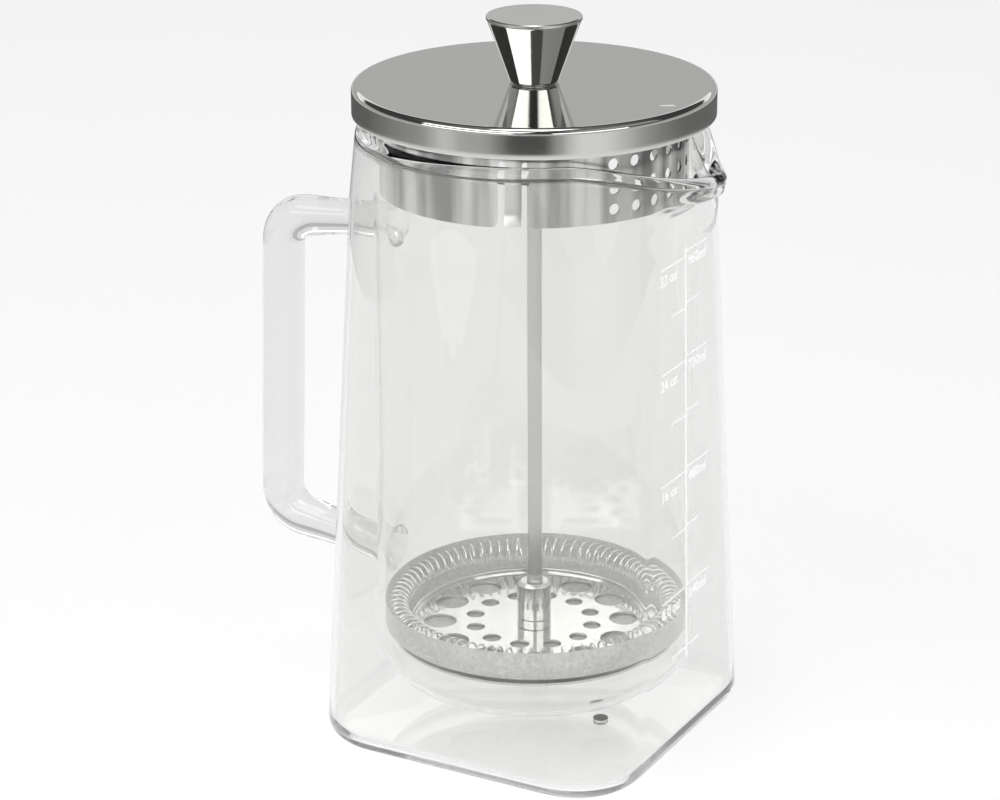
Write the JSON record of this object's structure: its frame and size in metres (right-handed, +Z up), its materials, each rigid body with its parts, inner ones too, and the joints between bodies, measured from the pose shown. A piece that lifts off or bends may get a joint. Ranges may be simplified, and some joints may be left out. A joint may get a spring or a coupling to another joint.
{
  "type": "french press",
  "caption": "Double-walled glass coffee press with a square foot, glass handle, pouring spout, turning steel lid with strainer, and a sprung mesh plunger.",
  "frame": {"origin": "centre of the base, on the face it rests on", "axes": "+Z up, +X towards the spout, the handle is on the -X side"},
  "size_m": [0.1609, 0.108, 0.225],
  "materials": {
    "glass": "clear borosilicate, polished",
    "silicone": "translucent matte",
    "bush_plastic": "matte",
    "steel_satin": "brushed",
    "steel_polished": "polished stainless steel",
    "steel_mirror": "mirror polished stainless steel",
    "steel_wire": "drawn stainless wire",
    "steel_mesh": "woven stainless wire"
  },
  "bodies": {
    "carafe": {"outer_glass": "glass", "inner_glass": "glass", "handle": "glass", "vent_plug": "silicone"},
    "bush": {"guide_bush": "bush_plastic", "bush_retainer": "steel_satin"},
    "lid": {"lid_cap": "steel_polished", "strainer_collar": "steel_satin"},
    "plunger": {"knob_body": "steel_mirror", "knob_cap": "steel_satin", "knob_insert": "steel_satin", "rod": "steel_satin", "filter_hub": "steel_polished", "spring_plate": "steel_polished", "rim_spring": "steel_wire", "mesh_screen": "steel_mesh", "cross_plate": "steel_polished", "bottom_nut": "steel_polished"}
  },
  "joints": [
    {"name": "lid_lift", "type": "slide", "parent": "carafe", "child": "bush", "axis": [0, 0, 1], "range_m": [0, 0.19]},
    {"name": "lid_turn", "type": "hinge", "parent": "bush", "child": "lid", "pos_m": [0, 0, 0.2045], "axis": [0, 0, 1], "continuous": true},
    {"name": "plunger_slide", "type": "slide", "parent": "bush", "child": "plunger", "axis": [0, 0, 1], "range_m": [0, 0.13]}
  ]
}
